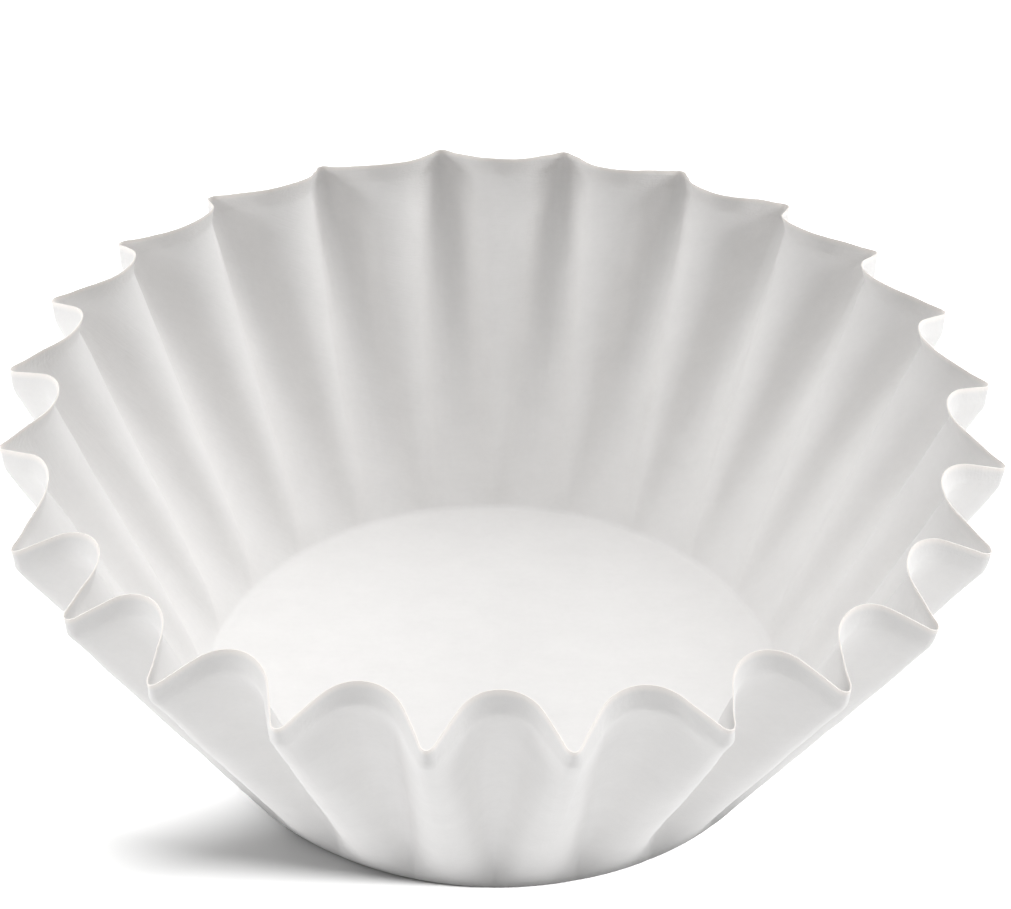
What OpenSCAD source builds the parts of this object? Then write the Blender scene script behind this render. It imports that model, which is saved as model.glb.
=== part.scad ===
// Basket filter, pressed from one flat disc of paper. The middle of the disc
// stays flat and is the base. The ring round it stands up as the wall, and the
// paper that has no room in the smaller circle of the rim is taken up by the
// flutes. The depth of the flutes isn't a size of its own: paper doesn't
// stretch, so it follows from the disc, the base, the lean of the wall and the
// number of flutes. The last of the wall is a narrow lip, which the press
// leaves upright.

/* [Paper] */
// Diameter of the flat disc of paper, before it is pressed
disc_d = 247.6; // [236:0.1:262]
// Thickness of the paper
paper_t = 0.2; // [0.15:0.05:0.4]

/* [Base] */
// Diameter of the fold line between base and wall
base_d = 108; // [100:0.5:116]
// Radius of the turn from the base up into the wall
heel_r = 4; // [3:0.5:7]

/* [Wall] */
// Lean of the outer folds from upright, in degrees
wall_lean = 30.5; // [27:0.1:38]
// Number of flutes round the wall
flute_count = 24; // [20:1:28]
// Share of a flute's paper that bends round its outer folds, at the rim
rim_outer = 0.1; // [0.08:0.01:0.3]
// Share of a flute's paper that bends round its inner fold, at the rim
rim_inner = 0.5; // [0.2:0.01:0.6]
// Share of a flute's paper that bends round its outer folds, at the base
base_outer = 0.75; // [0.4:0.01:0.8]
// Share of a flute's paper that bends round its inner fold, at the base
base_inner = 0.15; // [0.1:0.01:0.2]

/* [Lip] */
// Length of paper in the lip, from the wall to the cut edge
lip_l = 3.5; // [2:0.1:6]
// How far the lip turns up from the wall, in degrees
lip_turn = 36; // [0:1:45]

/* [Hand of the press] */
// How far the outer folds stray along the rim, as a share of a flute's width
stray_round = 0.05; // [0:0.01:0.08]
// How far the outer folds stray in lean, in degrees
stray_lean = 1.1; // [0:0.1:1.4]

/* [Hidden] */
paper_colour = [0.93, 0.92, 0.91];

// Degrees in one radian
rad = 180 / PI;
base_r = base_d / 2;
disc_r = disc_d / 2;
// Length of the wall from the fold line to the rim, along the paper
wall_l = disc_r - base_r;
// Radius at which the flat of the base ends and the heel begins to turn
flat_r = base_r - heel_r * tan((90 - wall_lean) / 2);
// Angle that half a flute takes up round the filter
half_angle = 180 / flute_count;

// Steps across the bend of an outer fold, the flank and the bend of an inner
// fold, each for half a flute
outer_steps = 2;
flank_steps = 2;
inner_steps = 3;
// Rows of faces round the heel
heel_rows = 3;
// Rows of the wall, as shares of its length from the fold line: the last two
// are the foot and the cut edge of the lip
wall_rows = [0.12, 0.4, 1 - lip_l / wall_l, 1];
// Step of the strays from one outer fold to the next, in degrees, and where
// each of them begins
stray_step = 60;
round_start = -50;
lean_start = -130;

function mix(a, b, share) = a + (b - a) * share;

// Half a flute is half an outer fold, a straight flank and half an inner fold.
// This is its width for each unit of its paper, when a share of the paper
// bends and both folds turn through the same angle.
function width_share(bent, turn) =
    bent * sin(turn) / turn * rad + (1 - bent) * cos(turn);

// The turn that squeezes half a flute to a given width for each unit of paper
function fold_turn(bent, width, low = 1, high = 120, halvings = 30) =
    let (middle = (low + high) / 2)
    halvings == 0 ? middle
    : width_share(bent, middle) > width
    ? fold_turn(bent, width, middle, high, halvings - 1)
    : fold_turn(bent, width, low, middle, halvings - 1);

// [share bent at the outer fold, share bent at the inner fold] in a row
function bends(row) =
    [mix(base_outer, rim_outer, row), mix(base_inner, rim_inner, row)];

// A point of a squeezed half flute, [across, in from the outer folds], at a
// share of its paper from the middle of the outer fold
function squeezed(bend, paper, turn, at) =
    let (
        outer_r = bend[0] * paper / turn * rad,
        inner_r = bend[1] * paper / turn * rad,
        flank = max(0, min(at, 1 - bend[1]) - bend[0]) * paper,
        outer_turn = min(1, at / bend[0]) * turn,
        inner_turn = max(0, (at - 1 + bend[1]) / bend[1]) * turn
    )
    [outer_r * sin(outer_turn) + flank * cos(turn)
        + inner_r * (sin(turn) - sin(turn - inner_turn)),
     outer_r * (1 - cos(outer_turn)) + flank * sin(turn)
        + inner_r * (cos(turn - inner_turn) - cos(turn))];

function half_paper(row) = PI * (base_r + row * wall_l) / flute_count;

// Paper of the lip that a row has passed
function lip_part(row) = max(0, lip_l - (1 - row) * wall_l);

// How far out from the fold line a row lies, when the wall has that lean
function reach_out(row, lean) =
    (row * wall_l - lip_part(row)) * sin(lean)
    + lip_part(row) * sin(lean - lip_turn);

// Radius at half the depth of the flutes in a row. It and the depth depend on
// each other, so it is closed in on.
function row_r(row, turns = 8) =
    turns == 0 ? base_r + reach_out(row, wall_lean)
    : let (
        paper = half_paper(row),
        bend = bends(row),
        half_width = PI * row_r(row, turns - 1) / flute_count,
        turn = fold_turn(bend[0] + bend[1], half_width / paper),
        depth = squeezed(bend, paper, turn, 1)[1]
    )
    base_r + reach_out(row, wall_lean - depth / 2 / row / wall_l * rad);

// Where outer fold k stands at the rim, in flute widths, and how it leans
function fold_at(k) =
    k - 0.5 + stray_round * sin(k % flute_count * stray_step + round_start);
function fold_lean(k) =
    wall_lean + stray_lean * sin(k % flute_count * stray_step + lean_start);

// Shares of half a flute's paper at which its columns stand at the rim
half_stations = concat(
    [for (i = [0:outer_steps]) rim_outer * i / outer_steps],
    [for (i = [1:flank_steps])
        mix(rim_outer, 1 - rim_inner, i / flank_steps)],
    [for (i = [1:inner_steps]) 1 - rim_inner + rim_inner * i / inner_steps]);
half_count = len(half_stations) - 1;
stations = concat(
    [for (i = [0:half_count]) half_stations[i] / 2],
    [for (i = [half_count - 1:-1:1]) 1 - half_stations[i] / 2]);

function around(r, angle, z) = [r * cos(angle), r * sin(angle), z];

// Point at the end of the heel's turn
function heel_point(angle, turn) =
    around(flat_r + heel_r * sin(turn), angle, heel_r * (1 - cos(turn)));

// Point of the wall that is reached along the paper at that lean: round the
// heel, up the straight of the wall and up the lip
function wall_point(angle, lean, row) =
    let (
        turn = 90 - lean,
        lip = lip_part(row),
        straight = base_r + row * wall_l - flat_r - heel_r * turn / rad - lip
    )
    around(
        flat_r + heel_r * sin(turn) + straight * cos(turn)
            + lip * sin(lean - lip_turn),
        angle,
        heel_r * (1 - cos(turn)) + straight * sin(turn)
            + lip * cos(lean - lip_turn));

// One flute in one row of the wall: [angle, lean] of each of its columns
function flute_row(k, row, mid_r) =
    let (
        left = mix(k - 0.5, fold_at(k), row),
        right = mix(k + 0.5, fold_at(k + 1), row),
        half_width = (right - left) * half_angle / rad * mid_r,
        paper = half_paper(row),
        bend = bends(row),
        turn = fold_turn(bend[0] + bend[1], half_width / paper)
    )
    [for (s = stations)
        let (
            near = squeezed(bend, paper, turn, s > 0.5 ? 2 - 2 * s : 2 * s),
            across = s > 0.5 ? 2 * half_width - near[0] : near[0]
        )
        [left * 2 * half_angle + across / mid_r * rad,
         mix(fold_lean(k), fold_lean(k + 1), s) - near[1] / row / wall_l * rad]];

rows = [for (row = wall_rows)
    let (mid_r = row_r(row))
    [for (k = [0:flute_count - 1]) each flute_row(k, row, mid_r)]];
column_count = flute_count * len(stations);

// Points of a column from the edge of the flat up to the rim
function column(c) =
    let (
        k = floor(c / len(stations)),
        angle = (k - 0.5 + stations[c % len(stations)]) * 2 * half_angle,
        foot_turn = 90 - rows[0][c][1]
    )
    concat(
        [for (i = [0:heel_rows]) heel_point(angle, foot_turn * i / heel_rows)],
        [for (i = [0:len(wall_rows) - 1])
            wall_point(rows[i][c][0], rows[i][c][1], wall_rows[i])]);

outside = [for (c = [0:column_count - 1]) column(c)];
row_count = heel_rows + 1 + len(wall_rows);

function unit(v) = v / norm(v);

// Direction from the outside of the paper to its inside at a grid point
function inward(c, row) =
    let (
        next = outside[(c + 1) % column_count],
        before = outside[(c + column_count - 1) % column_count],
        low = max(0, row - 1),
        high = min(row_count - 1, row + 1)
    )
    row == 0 ? [0, 0, 1]
    : unit(cross(outside[c][high] - outside[c][low], next[row] - before[row]));

inside = [for (c = [0:column_count - 1])
    [for (row = [0:row_count - 1]) outside[c][row] + paper_t * inward(c, row)]];

// Points are numbered column by column, the outside first
function number(side, c, row) =
    (side * column_count + c % column_count) * row_count + row;

// Two triangles between rows row and row + 1, turned to face their side
function patch(side, c, row) =
    let (
        a = number(side, c, row),
        b = number(side, c + 1, row),
        d = number(side, c, row + 1),
        e = number(side, c + 1, row + 1)
    )
    side == 0 ? [[a, e, b], [a, d, e]] : [[a, b, e], [a, e, d]];

// Two triangles of the cut edge of the paper at the rim
function edge_patch(c) =
    let (
        a = number(0, c, row_count - 1),
        b = number(0, c + 1, row_count - 1),
        d = number(1, c, row_count - 1),
        e = number(1, c + 1, row_count - 1)
    )
    [[a, e, b], [a, d, e]];

module filter_paper() {
    skins = [for (side = [0, 1], c = [0:column_count - 1], row = [0:row_count - 2])
        each patch(side, c, row)];
    edge = [for (c = [0:column_count - 1]) each edge_patch(c)];
    under = [for (c = [0:column_count - 1]) number(0, c, 0)];
    floor_top = [for (c = [column_count - 1:-1:0]) number(1, c, 0)];
    color(paper_colour)
    polyhedron(
        points = concat([for (c = outside) each c], [for (c = inside) each c]),
        faces = concat(skins, edge, [under, floor_top]),
        convexity = 12);
}

filter_paper();
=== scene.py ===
# %% [markdown]
# # A paper basket filter
#
# The real thing is one disc of white filter paper. A press leaves its middle flat as the base and
# stands the rest up as a wall. The wall's paper has no room in the smaller circle of the rim, so it
# goes up and down in flutes. Nothing is glued, cut or printed.
#
# So this lesson makes the paper first, as a flat disc with the same rings and columns all over.
# Then it presses the disc by a rule that never stretches it. The flat disc stays with the mesh as
# its UV map. The fibres and the crepe are drawn on that map, so they bend with the sheet.

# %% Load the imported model
import math

import bpy
import numpy as np
from mathutils import Euler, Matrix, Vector, noise


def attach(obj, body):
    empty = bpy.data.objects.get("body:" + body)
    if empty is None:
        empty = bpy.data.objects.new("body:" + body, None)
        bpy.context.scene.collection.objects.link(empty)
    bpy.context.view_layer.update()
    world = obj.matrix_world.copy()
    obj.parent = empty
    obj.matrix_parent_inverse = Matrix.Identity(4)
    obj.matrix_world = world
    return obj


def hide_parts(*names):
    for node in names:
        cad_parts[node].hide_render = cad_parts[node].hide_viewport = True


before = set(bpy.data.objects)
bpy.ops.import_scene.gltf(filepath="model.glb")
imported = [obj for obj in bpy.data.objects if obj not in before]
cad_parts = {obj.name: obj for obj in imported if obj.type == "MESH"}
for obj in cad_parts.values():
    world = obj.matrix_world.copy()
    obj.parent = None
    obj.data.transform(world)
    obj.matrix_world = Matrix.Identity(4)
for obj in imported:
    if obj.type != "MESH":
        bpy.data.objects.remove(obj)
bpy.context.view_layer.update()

mm = 0.001
scene = bpy.context.scene

# %% [markdown]
# ## The sizes of the paper
#
# Few sizes drive the form: the disc, the fold line of the base, the lean of the wall and the number
# of flutes. The depth of the flutes isn't one of them, because it follows from the others. The turn
# from the base into the wall, the heel, is tight, because the press folds the paper over an edge.
# The last of the wall is a lip, which stands more upright.
#
# Names that end in r are radii, and those that end in l are lengths along the paper.

# %% Sizes
disc_r = 123.8 * mm
base_r = 53.3 * mm
paper_t = 0.2 * mm
heel_r = 1.5 * mm
wall_lean = math.radians(31.2)
lip_l = 4 * mm
lip_turn = math.radians(36)
flute_count = 24

wall_l = disc_r - base_r
flat_r = base_r - heel_r * math.tan((math.pi / 2 - wall_lean) / 2)
flute_angle = 2 * math.pi / flute_count
print(f"The wall is {wall_l / mm:.1f} mm of paper, and the base is flat to {flat_r / mm:.1f} mm")

# %% [markdown]
# ## How a flute folds
#
# Half a flute is half an outer fold, a straight flank and half an inner fold. Both folds turn
# through the same angle. The more they turn, the less width the same paper takes up, so the turn
# that fits a given width is found by halving a range. Whole rows are worked out at once as arrays.
#
# At the rim the outer folds are sharp and the inner ones round, as the press leaves them. Near the
# base it is the other way round: the outer folds are broad and the inner ones narrow. Each pair of
# bends below is the share of the paper that goes round the outer fold and round the inner one.

# %% The fold's rule
RIM_BENDS = (0.1, 0.5)
BASE_BENDS = (0.75, 0.15)
LEAST_TURN = math.radians(0.5)
MOST_TURN = math.radians(120)
HALVINGS = 34


def mix(a, b, share):
    return a + (b - a) * share


def smooth_step(x):
    x = np.clip(x, 0, 1)
    return x * x * (3 - 2 * x)


def width_share(bent, turn):
    """Width of half a flute for each unit of its paper, when that share of the paper bends."""
    return bent * np.sin(turn) / turn + (1 - bent) * np.cos(turn)


def fold_turn(bent, width):
    """The turn that squeezes half a flute to that width for each unit of its paper."""
    low = np.full(np.broadcast(bent, width).shape, LEAST_TURN)
    high = np.full(low.shape, MOST_TURN)
    for _ in range(HALVINGS):
        middle = (low + high) / 2
        too_wide = width_share(bent, middle) > width
        low = np.where(too_wide, middle, low)
        high = np.where(too_wide, high, middle)
    return (low + high) / 2


def bends(row):
    """The two shares that bend, at that share of the way up the wall."""
    return mix(BASE_BENDS[0], RIM_BENDS[0], row), mix(BASE_BENDS[1], RIM_BENDS[1], row)


def half_paper(row):
    """Paper in half a flute, at that share of the way up the wall."""
    return math.pi * (base_r + row * wall_l) / flute_count


def squeezed(bend, paper, turn, at):
    """How far across and how far in a point lies, at a share of half a flute's paper."""
    outer_r = bend[0] * paper / turn
    inner_r = bend[1] * paper / turn
    flank = np.maximum(0, np.minimum(at, 1 - bend[1]) - bend[0]) * paper
    outer_turn = np.minimum(1, at / bend[0]) * turn
    inner_turn = np.maximum(0, (at - 1 + bend[1]) / bend[1]) * turn
    left_to_turn = turn - inner_turn
    across = outer_r * np.sin(outer_turn) + flank * np.cos(turn)
    across += inner_r * (np.sin(turn) - np.sin(left_to_turn))
    inward = outer_r * (1 - np.cos(outer_turn)) + flank * np.sin(turn)
    inward += inner_r * (np.cos(left_to_turn) - np.cos(turn))
    return across, inward


print(f"{sum(RIM_BENDS):.2f} of the paper bends at the rim, and {sum(BASE_BENDS):.2f} at the base")

# %% [markdown]
# ## Rows and columns
#
# The rings of the disc stand closest where the paper bends most: round the heel of the base, low on
# the wall where the flutes begin, and in the lip. The columns stand closest at the sharp outer
# folds. A station is a column's share of the way across its flute's paper.

# %% Rings and columns of the sheet
OUTER_STEPS = 5
FLANK_STEPS = 4
INNER_STEPS = 7
FLAT_EDGE = 3 * mm
LOW_WALL = 0.3
BELOW_LIP = 1.2 * mm

half_stations = np.concatenate([
    np.linspace(0, RIM_BENDS[0], OUTER_STEPS + 1),
    np.linspace(RIM_BENDS[0], 1 - RIM_BENDS[1], FLANK_STEPS + 1)[1:],
    np.linspace(1 - RIM_BENDS[1], 1, INNER_STEPS + 1)[1:],
])
stations = np.concatenate([half_stations / 2, 1 - half_stations[-2:0:-1] / 2])
column_count = flute_count * len(stations)

heel_paper = heel_r * (math.pi / 2 - wall_lean)
foot_of_lip = disc_r - lip_l
rings = [0]
for end, steps in (
    (flat_r - FLAT_EDGE, 5),
    (flat_r, 2),
    (flat_r + heel_paper, 6),
    (base_r + LOW_WALL * wall_l, 11),
    (foot_of_lip - BELOW_LIP, 11),
    (disc_r, 10),
):
    rings.extend(np.linspace(rings[-1], end, steps + 1)[1:])
rings = rings[1:]
print(f"The sheet has {len(rings)} rings of {column_count} columns")

# %% [markdown]
# ## The flat disc
#
# It starts as a small circle filled from its middle. Its edge is extruded and scaled outwards once
# for each ring, as one would by hand. The primitive spaces its columns evenly, so they are slid
# round to their stations, and the flat positions are kept as the UV map.

# %% Helpers for modelling


def deselect_all():
    for other in bpy.context.selected_objects:
        other.select_set(False)


def make_active(piece):
    deselect_all()
    piece.select_set(True)
    bpy.context.view_layer.objects.active = piece


def read_points(piece, name):
    """A row of three numbers for each point of the mesh: its place, or its normal."""
    values = np.empty(len(piece.data.vertices) * 3)
    piece.data.vertices.foreach_get(name, values)
    return values.reshape(-1, 3)


def move_points(piece, points):
    piece.data.vertices.foreach_set("co", np.ascontiguousarray(points).ravel())
    piece.data.update()


# %% Make the disc
deselect_all()
bpy.ops.mesh.primitive_circle_add(vertices=column_count, radius=rings[0], fill_type="TRIFAN")
sheet = bpy.context.object
sheet.name = "pressed_sheet"
make_active(sheet)
bpy.ops.object.mode_set(mode="EDIT")
bpy.ops.mesh.select_mode(type="EDGE")
bpy.ops.mesh.select_all(action="DESELECT")
bpy.ops.mesh.select_non_manifold(extend=False)
for inner, outer in zip(rings, rings[1:]):
    bpy.ops.mesh.extrude_region()
    growth = outer / inner
    bpy.ops.transform.resize(value=(growth, growth, 1), center_override=(0, 0, 0))
bpy.ops.object.mode_set(mode="OBJECT")
print("The disc has", len(sheet.data.vertices), "points")

# %% Slide its columns round and keep the flat places
AT_MIDDLE = 0.1 * mm

flat = read_points(sheet, "co")
rho = np.hypot(flat[:, 0], flat[:, 1])
even = np.arctan2(flat[:, 1], flat[:, 0]) / (2 * math.pi) * column_count
column = np.round(even).astype(int) % column_count
flute = column // len(stations)
share = stations[column % len(stations)]
theta = (flute - 0.5 + share) * flute_angle
flat = np.stack([rho * np.cos(theta), rho * np.sin(theta), np.zeros(len(rho))], 1)
flat[rho < AT_MIDDLE] = 0

paper_map = sheet.data.uv_layers.new(name="paper")
corner_points = np.empty(len(sheet.data.loops), int)
sheet.data.loops.foreach_get("vertex_index", corner_points)
paper_map.uv.foreach_set("vector", flat[corner_points, :2].ravel())
print(f"The flat disc is {2 * rho.max() / mm:.1f} mm across")

# %% [markdown]
# ## Where the folds stand
#
# No filter is pressed evenly. The outer folds stray a little round the rim and in lean, by a wave
# that repeats every sixth fold, and a few of them by a nudge of their own. Outer folds are numbered
# anticlockwise, seen from above, from the one just before the right-hand side. What they stray
# round the rim is a share of a flute's width.

# %% How the folds stray
stray_step = math.radians(60)
stray_round = 0.05
round_start = math.radians(-50)
stray_lean = math.radians(1.1)
lean_start = math.radians(-130)
round_nudges = {14: 0.12, 16: -0.03, 18: 0.04, 20: 0.065}
lean_nudges = {13: math.radians(-0.9), 14: math.radians(1), 16: math.radians(0.4)}


def nudged(k, nudges):
    return sum(np.where(k % flute_count == fold, nudge, 0) for fold, nudge in nudges.items())


def fold_at(k):
    stray = stray_round * np.sin(k % flute_count * stray_step + round_start)
    return k - 0.5 + stray + nudged(k, round_nudges)


def fold_lean(k):
    stray = stray_lean * np.sin(k % flute_count * stray_step + lean_start)
    return wall_lean + stray + nudged(k, lean_nudges)


leans = np.degrees(fold_lean(np.arange(flute_count)))
print(f"The outer folds lean by {leans.min():.1f} to {leans.max():.1f} degrees")

# %% [markdown]
# ## Press it
#
# Each point of the flat disc has a distance along the paper from the middle, and a share of the
# flute that it lies in. The rule of the fold says how far round and how far in that share ends up.
# Below a tenth or so of the wall the rule would ask for flutes at once, which paper doesn't do at a
# pressed edge, so their form there is held and eased in.
#
# The lip isn't a sharp turn but a soft bend. It is turned more in one flute than in the next, and
# less at the outer folds, because a sharp fold is stiff along its length.

# %% The lip, and the radius of each row
LIP_BEND = 2.2 * mm
LIP_STEPS = 400
ROUNDS = 9


def lip_path(paper_in_lip):
    """How much less far along, and how far upright, the softly bent lip has gone."""
    steps = np.linspace(-LIP_BEND, lip_l, LIP_STEPS)
    turned = lip_turn * smooth_step((steps + LIP_BEND / 2) / LIP_BEND)
    step = steps[1] - steps[0]
    along = np.cumsum(np.cos(turned)) * step
    upright = np.cumsum(np.sin(turned)) * step
    at = np.clip(paper_in_lip, -LIP_BEND, lip_l)
    lost = np.interp(at, steps, along - along[0]) - (at + LIP_BEND)
    return lost, np.interp(at, steps, upright - upright[0])


def middle_r(row, lost, upright):
    """Radius at half the depth of the flutes. It and the depth depend on each other."""
    bend = bends(row)
    paper = half_paper(row)
    lean = wall_lean
    for _ in range(ROUNDS):
        radius = base_r + (row * wall_l + lost) * np.sin(lean) - upright * np.cos(lean)
        turn = fold_turn(bend[0] + bend[1], math.pi * radius / flute_count / paper)
        depth = squeezed(bend, paper, turn, 1)[1]
        lean = wall_lean - depth / 2 / (row * wall_l)
    return radius


lost_at_rim = lip_path(np.array([lip_l]))[0][0]
print(f"The bend of the lip takes {-lost_at_rim / mm:.2f} mm from the length of the wall")

# %% Where each point stands
SETTLED_ROW = 0.12
SETTLING = 0.035


def press(rho, flute, share, lip_share):
    """Where each point of the flat disc stands in the pressed filter."""
    row = (rho - base_r) / wall_l
    settled = SETTLED_ROW + SETTLING * np.logaddexp(0, (row - SETTLED_ROW) / SETTLING)
    lost, upright = lip_path(rho - foot_of_lip)
    lost = lost * lip_share**2
    upright = upright * lip_share
    radius = middle_r(settled, lost, upright)

    left = mix(flute - 0.5, fold_at(flute), settled)
    right = mix(flute + 0.5, fold_at(flute + 1), settled)
    half_width = (right - left) * flute_angle / 2 * radius
    bend = bends(settled)
    paper = half_paper(settled)
    turn = fold_turn(bend[0] + bend[1], half_width / paper)
    second_half = share > 0.5
    at = np.where(second_half, 2 - 2 * share, 2 * share)
    across, inward = squeezed(bend, paper, turn, at)
    across = np.where(second_half, 2 * half_width - across, across)

    plain_angle = (flute - 0.5 + share) * flute_angle
    fluted_angle = left * flute_angle + across / radius
    eased_in = smooth_step((rho - flat_r) / (heel_paper + SETTLED_ROW * wall_l))
    angle = mix(plain_angle, fluted_angle, eased_in)

    lean = mix(fold_lean(flute), fold_lean(flute + 1), share) - inward / (settled * wall_l)
    heel_turn = math.pi / 2 - lean
    from_flat = np.maximum(0, rho - flat_r)
    turned = np.minimum(from_flat / heel_r, heel_turn)
    straight = np.maximum(0, from_flat - heel_r * heel_turn) + lost
    out = np.minimum(rho, flat_r) + heel_r * np.sin(turned) + straight * np.sin(lean)
    out -= upright * np.cos(lean)
    up = heel_r * (1 - np.cos(turned)) + straight * np.cos(lean) + upright * np.sin(lean)
    return np.stack([out * np.cos(angle), out * np.sin(angle), up], 1)


# %% Press the sheet
LIP_VARIES = 0.22
LIP_VARIES_OVER = 13 * mm
FOLD_HOLDS = 0.35
FOLD_WIDTH = 1.6 * mm
NOISE_START = Vector((3.1, 7.4, 1.9))
OCTAVE_FALL = 1
OCTAVE_STEP = 2


def soft_noise(points, size, octaves):
    """A number from about -1 to 1 for each point, in soft lumps of that size."""
    places = [Vector(point) / size + NOISE_START for point in points.tolist()]
    return np.array([noise.fractal(place, OCTAVE_FALL, OCTAVE_STEP, octaves) for place in places])


rim_points = np.stack([disc_r * np.cos(theta), disc_r * np.sin(theta), 0 * theta], 1)
from_fold = np.minimum(share, 1 - share) * flute_angle * disc_r
lip_share = 1 + LIP_VARIES * soft_noise(rim_points, LIP_VARIES_OVER, octaves=1)
lip_share -= FOLD_HOLDS * np.exp(-((from_fold / FOLD_WIDTH) ** 2))
pressed = press(rho, flute, share, lip_share)
move_points(sheet, pressed)
width = 2 * np.hypot(pressed[:, 0], pressed[:, 1]).max()
print(f"Pressed, it is {width / mm:.1f} mm across and {pressed[:, 2].max() / mm:.1f} mm high")

# %% [markdown]
# ## The unevenness of real paper
#
# Paper that was pressed in a stack isn't smooth: its flanks bow a little, its rim wavers, and small
# ripples run in it. Each point moves along the sheet's own normal by soft noise of two sizes, less
# and less towards the base, which stays flat on the table. Low on the wall each inner fold is
# nipped into a narrow crease.

# %% Waver of the wall and rim
BOW = 0.45 * mm
BOW_SIZE = 22 * mm
RIPPLE = 0.11 * mm
RIPPLE_SIZE = 5 * mm
RIPPLE_FULL = 0.3
CREASE = 0.4 * mm
CREASE_WIDTH = 0.7 * mm
CREASE_FOOT = 6 * mm
CREASE_REACH = 18 * mm

up_the_wall = np.clip((rho - base_r) / wall_l, 0, 1)
moved = BOW * up_the_wall * soft_noise(pressed, BOW_SIZE, octaves=2)
rippled = RIPPLE * smooth_step(up_the_wall / RIPPLE_FULL)
moved += rippled * soft_noise(pressed, RIPPLE_SIZE, octaves=3)
from_valley = (share - 0.5) * flute_angle * rho
past_flat = rho - flat_r
crease = smooth_step(past_flat / CREASE_FOOT) * smooth_step(1 - past_flat / CREASE_REACH)
moved += CREASE * crease * np.exp(-((from_valley / CREASE_WIDTH) ** 2))
pressed = pressed + read_points(sheet, "normal") * moved[:, None]
print(f"Points of the wall moved by up to {np.abs(moved).max() / mm:.2f} mm")

# %% [markdown]
# ## Faint pleats
#
# The flutes don't stop dead at the base. They end in its outer ring as faint pleats, which rise a
# little from the table, under some flutes more than under others.

# %% Pleats at the edge of the base
PLEAT_END = 0.1 * mm
PLEAT_REACH = 16 * mm
PLEAT_FADE = 8 * mm
PLEAT_USUAL = 0.6
PLEAT_VARIES = 0.9
PLEAT_VARIES_OVER = 3 * LIP_VARIES_OVER

in_base = smooth_step(1 + past_flat / PLEAT_REACH)
in_base = in_base * smooth_step(0.5 - (rho - base_r) / PLEAT_FADE)
pleat = (0.5 - 0.5 * np.cos(2 * math.pi * share)) ** 2
faint = PLEAT_USUAL + PLEAT_VARIES * soft_noise(rim_points, PLEAT_VARIES_OVER, octaves=1)
raised = PLEAT_END * in_base * pleat * np.clip(faint, 0, 1)
pressed[:, 2] += raised
move_points(sheet, pressed)
print(f"The pleats rise by up to {raised.max() / mm:.2f} mm")

# %% [markdown]
# ## Thickness
#
# Solidify gives the sheet its thickness towards the inside of the bowl, because the pressed form is
# the outside of the paper. The cut edge at the rim gets the second material, which has no crepe.

# %% Give the paper its thickness
thickness = sheet.modifiers.new("paper_thickness", "SOLIDIFY")
thickness.thickness = paper_t
thickness.offset = 1
thickness.use_quality_normals = True
thickness.material_offset_rim = 1
print(f"The paper is {paper_t / mm:.1f} mm thick")

# %% [markdown]
# ## What the paper looks like up close
#
# Filter paper is a felt of short fibres with no filler, so it is soft, matt and a little cloudy. A
# fine crepe runs across it in one direction, because the wet sheet is scraped off its roller. Both
# belong to the flat sheet, so they are drawn on its UV map, which is in metres: at the front the
# crepe runs along the rim, and at the sides it runs up the wall.
#
# The same grain is on the faces and on the cut edge, so it is a node group, built once.

# %% Helpers for nodes


def add_node(tree, kind, label, **values):
    """A node with the values of its inputs, with _ for a space in an input's name."""
    made = tree.nodes.new(kind)
    made.label = label
    for name, value in values.items():
        made.inputs[name.replace("_", " ")].default_value = value
    return made


def add_maths(tree, operation, label, first, second, third=None):
    """A Math node whose inputs are numbers or other nodes' outputs."""
    made = add_node(tree, "ShaderNodeMath", label)
    made.operation = operation
    for socket, value in zip(made.inputs, (first, second, third)):
        if isinstance(value, bpy.types.NodeSocket):
            tree.links.new(value, socket)
        elif value is not None:
            socket.default_value = value
    return made.outputs["Value"]


def smooth_range(tree, label, value, low, high, top=1):
    """Goes softly from 0 where the value is low to the top where it is high."""
    made = add_node(tree, "ShaderNodeMapRange", label, From_Min=low, From_Max=high, To_Max=top)
    made.interpolation_type = "SMOOTHSTEP"
    tree.links.new(value, made.inputs["Value"])
    return made.outputs["Result"]


def distance_from_middle(tree, place):
    made = add_node(tree, "ShaderNodeVectorMath", "distance from the middle")
    made.operation = "LENGTH"
    tree.links.new(place, made.inputs[0])
    return made.outputs["Value"]


def stretched_noise(tree, label, place, size, turn=0, **values):
    """Noise whose grains have that length and width in metres, turned in the plane of the sheet."""
    mapping = add_node(tree, "ShaderNodeMapping", label)
    mapping.vector_type = "TEXTURE"
    mapping.inputs["Rotation"].default_value = (0, 0, turn)
    mapping.inputs["Scale"].default_value = (size[0], size[1], 1)
    tree.links.new(place, mapping.inputs["Vector"])
    grains = add_node(tree, "ShaderNodeTexNoise", label, Scale=1, **values)
    grains.noise_dimensions = "2D"
    tree.links.new(mapping.outputs["Vector"], grains.inputs["Vector"])
    return grains.outputs["Fac"]


def add_sockets(group, way, kind, names):
    for name in names:
        group.interface.new_socket(name, in_out=way, socket_type=kind)


# %% The group, with its inputs and outputs
grain = bpy.data.node_groups.new("paper_grain", "ShaderNodeTree")
add_sockets(grain, "INPUT", "NodeSocketVector", ["Place"])
add_sockets(grain, "INPUT", "NodeSocketColor", ["Colour", "Colour at the cut"])
add_sockets(grain, "INPUT", "NodeSocketFloat", ["Cloudiness", "Crepe", "Fibre", "Rim creases"])
add_sockets(grain, "INPUT", "NodeSocketFloat", ["Roughness"])
add_sockets(grain, "OUTPUT", "NodeSocketColor", ["Colour"])
add_sockets(grain, "OUTPUT", "NodeSocketFloat", ["Roughness", "Height"])
given = grain.nodes.new("NodeGroupInput").outputs
result = grain.nodes.new("NodeGroupOutput").inputs
print("The grain puts out", len(result) - 1, "values")

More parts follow.
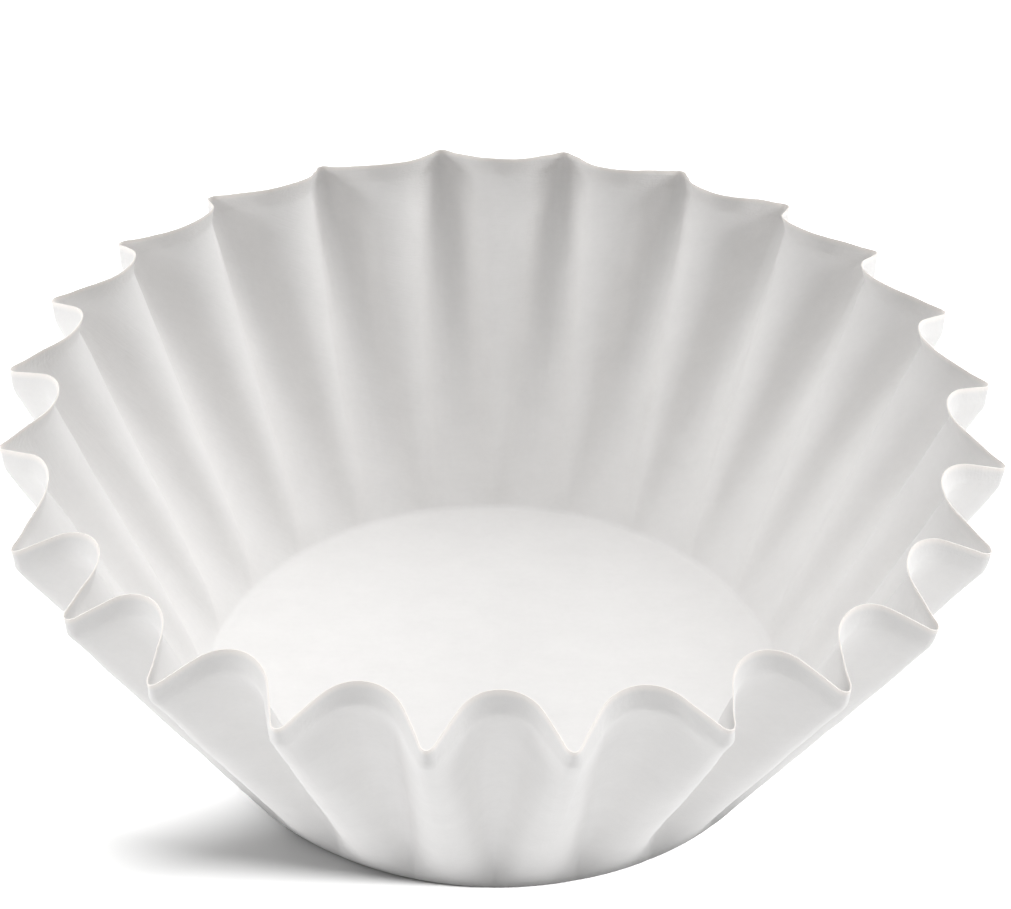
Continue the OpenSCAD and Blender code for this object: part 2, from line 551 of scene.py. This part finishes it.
# %% [markdown]
# ## Clouds, flocs, crepe and fibres
#
# Each is noise of its own size, as long and as wide as the real one. The fibres lie in two
# directions, and the one on top shows. Clouds, flocs and fibres together make the tone a little
# uneven, and the same unevenness makes some spots more matt than others.

# %% Tone and roughness
CLOUD = (9 * mm, 6 * mm)
FLOC = (1.3 * mm, 1 * mm)
CREPE = (5 * mm, 0.55 * mm)
FIBRE = (2.2 * mm, 0.13 * mm)
FIBRE_TURNS = (0.3, 1.8)
FLOC_PART = 0.6
FIBRE_PART = 0.5
MEAN_TONE = 1.1
MATT_VARIES = 0.08

place = given["Place"]
cloud = stretched_noise(grain, "clouds of fibre", place, CLOUD, Detail=2, Roughness=0.6)
floc = stretched_noise(grain, "flocs", place, FLOC, Detail=2, Roughness=0.6)
crepe = stretched_noise(grain, "crepe", place, CREPE, Detail=2, Roughness=0.5, Distortion=0.6)
strands = []
for turn in FIBRE_TURNS:
    strands.append(stretched_noise(grain, "fibres", place, FIBRE, turn, Detail=1, Distortion=0.8))
fibre = add_maths(grain, "MAXIMUM", "fibres on top", *strands)

uneven = add_maths(grain, "MULTIPLY_ADD", "clouds and flocs", floc, FLOC_PART, cloud)
uneven = add_maths(grain, "MULTIPLY_ADD", "fibres too", fibre, FIBRE_PART, uneven)
uneven = add_maths(grain, "SUBTRACT", "around nothing", uneven, MEAN_TONE)
tone = add_maths(grain, "MULTIPLY_ADD", "tone", uneven, given["Cloudiness"], 1)
tinted = add_node(grain, "ShaderNodeVectorMath", "cloudy colour")
tinted.operation = "SCALE"
grain.links.new(given["Colour"], tinted.inputs[0])
grain.links.new(tone, tinted.inputs["Scale"])
matt = add_maths(grain, "MULTIPLY_ADD", "roughness", uneven, MATT_VARIES, given["Roughness"])
grain.links.new(matt, result["Roughness"])
print("The grain has", len(grain.nodes), "nodes so far")

# %% [markdown]
# ## The line at the cut
#
# At the cut the fibres are torn and stand loose. The last millimetre or so of the faces is painted
# softly lighter, up to the colour of the cut edge itself, and draws a soft line round the rim: this
# is painted light, which stands in for the light that the loose fibres catch and that comes through
# the thin paper near its edge. A Mix node has sockets of the same names for each kind of data, so
# its colour sockets are taken by number.

# %% Painted light at the cut
# Painted light: the width of the band in which the faces are painted lighter towards the cut
PAINTED_LIGHT_BAND = 1.4 * mm
MIX_FIRST_COLOUR = 6
MIX_SECOND_COLOUR = 7
MIX_RESULT_COLOUR = 2

# Painted light: near the rim the faces are mixed towards the lighter colour of the cut edge
from_middle = distance_from_middle(grain, place)
painted_light_at_cut = smooth_range(grain, "at the cut edge", from_middle, disc_r - PAINTED_LIGHT_BAND, disc_r)
lighter = add_node(grain, "ShaderNodeMix", "lighter at the cut")
lighter.data_type = "RGBA"
grain.links.new(painted_light_at_cut, lighter.inputs["Factor"])
grain.links.new(tinted.outputs["Vector"], lighter.inputs[MIX_FIRST_COLOUR])
grain.links.new(given["Colour at the cut"], lighter.inputs[MIX_SECOND_COLOUR])
grain.links.new(lighter.outputs[MIX_RESULT_COLOUR], result["Colour"])
print(f"The faces grow lighter in the last {PAINTED_LIGHT_BAND / mm:.1f} mm")

# %% [markdown]
# ## Creases round the rim, and the relief
#
# Where the press turns the lip, the paper is pinched into fine creases that run along the rim. They
# are noise along the distance from the middle, bent by a slow wander and left out in patches. With
# the crepe and the nap of the fibres they are the height that a Bump node reads.

# %% Creases and height
CREASE_GAP = 0.9 * mm
WANDER = 14 * mm
WANDER_GAPS = 5
CREASES_FROM = 2.2 * lip_l
CREASES_FULL = 0.7 * lip_l

wander = stretched_noise(grain, "wander of the creases", place, (WANDER, WANDER), Detail=2)
ring_at = add_maths(grain, "MULTIPLY", "creases to the metre", from_middle, 1 / CREASE_GAP)
ring_at = add_maths(grain, "MULTIPLY_ADD", "wandering", wander, WANDER_GAPS, ring_at)
creases = add_node(grain, "ShaderNodeTexNoise", "creases", Scale=1, Detail=1)
creases.noise_dimensions = "1D"
grain.links.new(ring_at, creases.inputs["W"])
rim_from = disc_r - CREASES_FROM
near_rim = smooth_range(grain, "near the rim", from_middle, rim_from, disc_r - CREASES_FULL)
creases = add_maths(grain, "MULTIPLY", "only near the rim", creases.outputs["Fac"], near_rim)
creases = add_maths(grain, "MULTIPLY", "patchy", creases, floc)

ridges = add_maths(grain, "MULTIPLY", "crepe height", crepe, given["Crepe"])
nap = add_maths(grain, "MULTIPLY", "fibre height", fibre, given["Fibre"])
ridges = add_maths(grain, "ADD", "crepe and fibres", ridges, nap)
height = add_maths(grain, "MULTIPLY_ADD", "height", creases, given["Rim creases"], ridges)
grain.links.new(height, result["Height"])
print("The grain of the paper has", len(grain.nodes), "nodes")

# %% [markdown]
# ## The two finishes
#
# The paper is matt, and a neutral white rather than a cream one: the warmth inside the bowl comes of
# light that goes from wall to wall, and takes a little colour each time. The cut edge is painted
# lighter than the paper, as painted light along the rim, with a longer nap and no crepe.

# %% Paper and its cut edge
PAPER_COLOUR = (0.846, 0.837, 0.829, 1)
# Painted light: the cut edge is coloured lighter than the paper, for the line of light along the rim
PAINTED_LIGHT_EDGE_COLOUR = (0.98, 0.94, 0.905, 1)
CLOUDINESS = 0.05
PAPER_IOR = 1.45
PAPER_SHEEN = 0.3


def paper_finish(name, colour, crepe_height, fibre_height, crease_height, roughness):
    finish = bpy.data.materials.new(name)
    finish.use_nodes = True
    tree = finish.node_tree
    shader = tree.nodes["Principled BSDF"]
    shader.inputs["IOR"].default_value = PAPER_IOR
    shader.inputs["Specular IOR Level"].default_value = PAPER_SHEEN
    on_sheet = add_node(tree, "ShaderNodeUVMap", "place on the flat sheet")
    on_sheet.uv_map = "paper"
    look = add_node(tree, "ShaderNodeGroup", "grain of the paper")
    look.node_tree = grain
    look.inputs["Colour"].default_value = colour
    look.inputs["Colour at the cut"].default_value = PAINTED_LIGHT_EDGE_COLOUR
    look.inputs["Cloudiness"].default_value = CLOUDINESS
    look.inputs["Crepe"].default_value = crepe_height
    look.inputs["Fibre"].default_value = fibre_height
    look.inputs["Rim creases"].default_value = crease_height
    look.inputs["Roughness"].default_value = roughness
    relief = add_node(tree, "ShaderNodeBump", "relief", Strength=1, Distance=1)
    tree.links.new(on_sheet.outputs["UV"], look.inputs["Place"])
    tree.links.new(look.outputs["Colour"], shader.inputs["Base Color"])
    tree.links.new(look.outputs["Roughness"], shader.inputs["Roughness"])
    tree.links.new(look.outputs["Height"], relief.inputs["Height"])
    tree.links.new(relief.outputs["Normal"], shader.inputs["Normal"])
    return finish


face = paper_finish(
    "filter_paper",
    PAPER_COLOUR,
    crepe_height=0.03 * mm,
    fibre_height=0.012 * mm,
    crease_height=0.12 * mm,
    roughness=0.86,
)
edge = paper_finish(
    "cut_edge",
    PAINTED_LIGHT_EDGE_COLOUR,
    crepe_height=0,
    fibre_height=0.03 * mm,
    crease_height=0,
    roughness=0.95,
)
for finish in (face, edge):
    sheet.data.materials.append(finish)
print("The sheet's materials are", ", ".join(finish.name for finish in sheet.data.materials))

# %% Finish the sheet
SMOOTH_UNDER = math.radians(40)

make_active(sheet)
bpy.ops.object.modifier_apply(modifier=thickness.name)
bpy.ops.object.shade_smooth_by_angle(angle=SMOOTH_UNDER)
print("The sheet has", sum(len(side.vertices) - 2 for side in sheet.data.polygons), "triangles")

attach(sheet, "root")
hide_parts("filter_paper")

# %% [markdown]
# ## The table
#
# The photograph is bright and soft all over. A white table throws so much light back up that the
# outside of the wall, which leans out over it, is as light as the rest, and the lip, which looks
# straight ahead into the room, is darker. So the table glows with painted light, an emission that
# stands in for that bounce. The glow is painted weaker and weaker towards the base as painted shade,
# where the object would keep the light off the table.
#
# The camera sees another side of the same table: a plain surface, made white by lamps and grey
# where the object keeps them off. Light Path tells the two apart.

# %% The table
TABLE_SIZE = 6

deselect_all()
bpy.ops.mesh.primitive_plane_add(size=TABLE_SIZE)
table = bpy.context.object
table.name = "table"


def show(tree, seen, bounced, output):
    """One shader for what is seen, straight or in gloss or glass, one for light that bounces."""
    path = tree.nodes.new("ShaderNodeLightPath").outputs
    is_seen = add_maths(tree, "MAXIMUM", "seen", path["Is Camera Ray"], path["Is Glossy Ray"])
    is_seen = add_maths(tree, "MAXIMUM", "seen", is_seen, path["Is Transmission Ray"])
    either = add_node(tree, "ShaderNodeMixShader", "seen or not")
    for socket, value in zip(either.inputs, (is_seen, bounced, seen)):
        tree.links.new(value, socket)
    tree.links.new(either.outputs["Shader"], tree.nodes[output].inputs["Surface"])


# %% What the table is made of
TABLE_SEEN = (0.5, 0.5, 0.5, 1)
TABLE_BOUNCE = (0.03, 0.03, 0.03, 1)
# Painted light: the table's glow, which is painted weaker towards the base as painted shade
TABLE_GLOW = 1.09
GLOW_FROM = 50 * mm
GLOW_FULL = 73 * mm

table_finish = bpy.data.materials.new("white_table")
table_finish.use_nodes = True
tree = table_finish.node_tree
tree.nodes.remove(tree.nodes["Principled BSDF"])
seen_table = add_node(tree, "ShaderNodeBsdfDiffuse", "seen", Color=TABLE_SEEN)
bounce = add_node(tree, "ShaderNodeBsdfDiffuse", "bounce", Color=TABLE_BOUNCE)
# Painted light and painted shade: an emission on the table for bounced light, faded near the base
glow = add_node(tree, "ShaderNodeEmission", "glow")
on_table = add_node(tree, "ShaderNodeTexCoord", "place on the table")
from_base = distance_from_middle(tree, on_table.outputs["Object"])
glowing = smooth_range(tree, "away from the base", from_base, GLOW_FROM, GLOW_FULL, TABLE_GLOW)
tree.links.new(glowing, glow.inputs["Strength"])
lit = add_node(tree, "ShaderNodeAddShader", "bounce and glow")
tree.links.new(bounce.outputs["BSDF"], lit.inputs[0])
tree.links.new(glow.outputs["Emission"], lit.inputs[1])
show(tree, seen_table.outputs["BSDF"], lit.outputs["Shader"], "Material Output")
table.data.materials.append(table_finish)
print(f"The table glows from {GLOW_FROM / mm:.0f} mm out, and in full from {GLOW_FULL / mm:.0f} mm")

# %% [markdown]
# ## The sky of the studio
#
# Nothing bright stands at eye level, because the lip would show it. The light comes from a wide
# ceiling, and the camera sees a plain white backdrop.

# %% The ceiling and the backdrop
WHITE = (1, 1, 1, 1)
CEILING_LEVEL = 1.25
CEILING_FROM = 0.62
CEILING_FULL = 0.85

sky = bpy.data.worlds.new("studio")
scene.world = sky
sky.use_nodes = True
tree = sky.node_tree
around = tree.nodes["Background"]
around.inputs["Color"].default_value = WHITE
direction = add_node(tree, "ShaderNodeTexCoord", "direction")
split = add_node(tree, "ShaderNodeSeparateXYZ", "how far up")
tree.links.new(direction.outputs["Generated"], split.inputs["Vector"])
upward = split.outputs["Z"]
above = smooth_range(tree, "above", upward, CEILING_FROM, CEILING_FULL, CEILING_LEVEL)
tree.links.new(above, around.inputs["Strength"])
backdrop = add_node(tree, "ShaderNodeBackground", "white backdrop", Color=WHITE, Strength=1)
show(tree, backdrop.outputs["Background"], around.outputs["Background"], "World Output")
full_from = math.degrees(math.asin(CEILING_FULL))
print(f"The ceiling is fully bright from {full_from:.0f} degrees up")

# %% [markdown]
# ## Lamps
#
# A weak key from behind on the right models the inside of the bowl, and a soft box on each side
# puts light on the flanks of the flutes.

# %% Lamps for the paper
BOX_DISTANCE = 0.7
BOX_ELEVATION = 28
BOX_SIZE = (0.3, 0.5)
BOX_LEVEL = 3.8


def place_lamp(data, aimed_at, azimuth, elevation, distance):
    """Put a lamp at a distance from the point it looks at, in that direction."""
    lamp = bpy.data.objects.new(data.name, data)
    scene.collection.objects.link(lamp)
    turned = Euler((0, math.radians(90 - elevation), math.radians(azimuth)))
    away = Vector((0, 0, distance))
    away.rotate(turned)
    lamp.location = Vector(aimed_at) + away
    lamp.rotation_euler = turned
    return lamp


def sun_lamp(name, azimuth, elevation, spread, level):
    """A sun that makes a white surface which faces it as bright as the level says."""
    data = bpy.data.lights.new(name, "SUN")
    data.angle = math.radians(spread)
    data.energy = level * math.pi
    return place_lamp(data, (0, 0, 0), azimuth, elevation, 1)


def side_box(name, azimuth):
    """A soft box that shows the paper a surface as bright as its level says."""
    data = bpy.data.lights.new(name, "AREA")
    data.shape = "RECTANGLE"
    data.size = BOX_SIZE[0]
    data.size_y = BOX_SIZE[1]
    data.energy = BOX_LEVEL * math.pi * BOX_SIZE[0] * BOX_SIZE[1]
    return place_lamp(data, (0, 0, 0), azimuth, BOX_ELEVATION, BOX_DISTANCE)


sun_lamp("key", azimuth=50, elevation=55, spread=40, level=0.25)
side_box("left_box", azimuth=186)
side_box("right_box", azimuth=-6)
print("The boxes are", BOX_DISTANCE, "m away")

# %% [markdown]
# ## Lamps for the shadow
#
# A sun from the right and a spot from the left are there for the shadow alone. Light linking lets
# them fall on nothing but the table, so each of them can be strong enough to make it white on its
# own. Only the floor that neither of them reaches is grey: to the left of the base, where the sun
# is behind the object, and past the edge of the spot's round.

# %% Lamps for the table alone
SPOT_AIM = (-0.180, 0.174, 0)
SPOT_DISTANCE = 1.2
SPOT_REACH = 0.25
SPOT_LEVEL = 5
SPOT_BLEND = 0.04
SPOT_RADIUS = 0.012

table_sun = sun_lamp("table_right", azimuth=-19, elevation=26, spread=14, level=5.2)

spot = bpy.data.lights.new("table_left", "SPOT")
spot.spot_size = 2 * math.atan(SPOT_REACH / SPOT_DISTANCE)
spot.spot_blend = SPOT_BLEND
spot.shadow_soft_size = SPOT_RADIUS
spot.energy = SPOT_LEVEL * 4 * math.pi**2 * SPOT_DISTANCE**2
table_spot = place_lamp(spot, SPOT_AIM, azimuth=214, elevation=28, distance=SPOT_DISTANCE)

table_only = bpy.data.collections.new("table_only")
table_only.objects.link(table)
for lamp in (table_sun, table_spot):
    lamp.light_linking.receiver_collection = table_only

# %% [markdown]
# ## The camera
#
# The camera stands where the photographer's stood. Its height, distance and focal length were
# found from the arc of the base and the tips of the rim. The photographer's lens looked at a point
# a little left of the middle of the frame, and the shift makes this one do the same.

# %% Camera
IMAGE_W = 1011
SENSOR_W = 36
PHOTO_FOCAL = 3490.1
PHOTO_AXIS_X = 499.6
NEAREST_SEEN = 50 * mm
AIM_HEIGHT = 53.3 * mm
eye_distance = 611.2 * mm
eye_elevation = math.radians(37.05)
eye_azimuth = math.radians(-0.59)
eye_roll = math.radians(1.145)

eye_data = bpy.data.cameras.new("eye")
eye_data.sensor_width = SENSOR_W
eye_data.lens = PHOTO_FOCAL * SENSOR_W / IMAGE_W
eye_data.shift_x = (IMAGE_W / 2 - PHOTO_AXIS_X) / IMAGE_W
eye_data.clip_start = NEAREST_SEEN
eye = bpy.data.objects.new("eye", eye_data)
scene.collection.objects.link(eye)
backwards = Vector((0, -math.cos(eye_elevation), math.sin(eye_elevation)))
backwards.rotate(Euler((0, 0, eye_azimuth)))
eye.location = Vector((0, 0, AIM_HEIGHT)) + backwards * eye_distance
eye.rotation_mode = "QUATERNION"
level_eye = (-backwards).to_track_quat("-Z", "Y")
eye.rotation_quaternion = level_eye @ Euler((0, 0, eye_roll)).to_quaternion()
scene.camera = eye
scene.view_settings.view_transform = "Standard"
print(f"The camera stands {eye_distance / mm:.0f} mm away, with a lens of {eye_data.lens:.0f} mm")
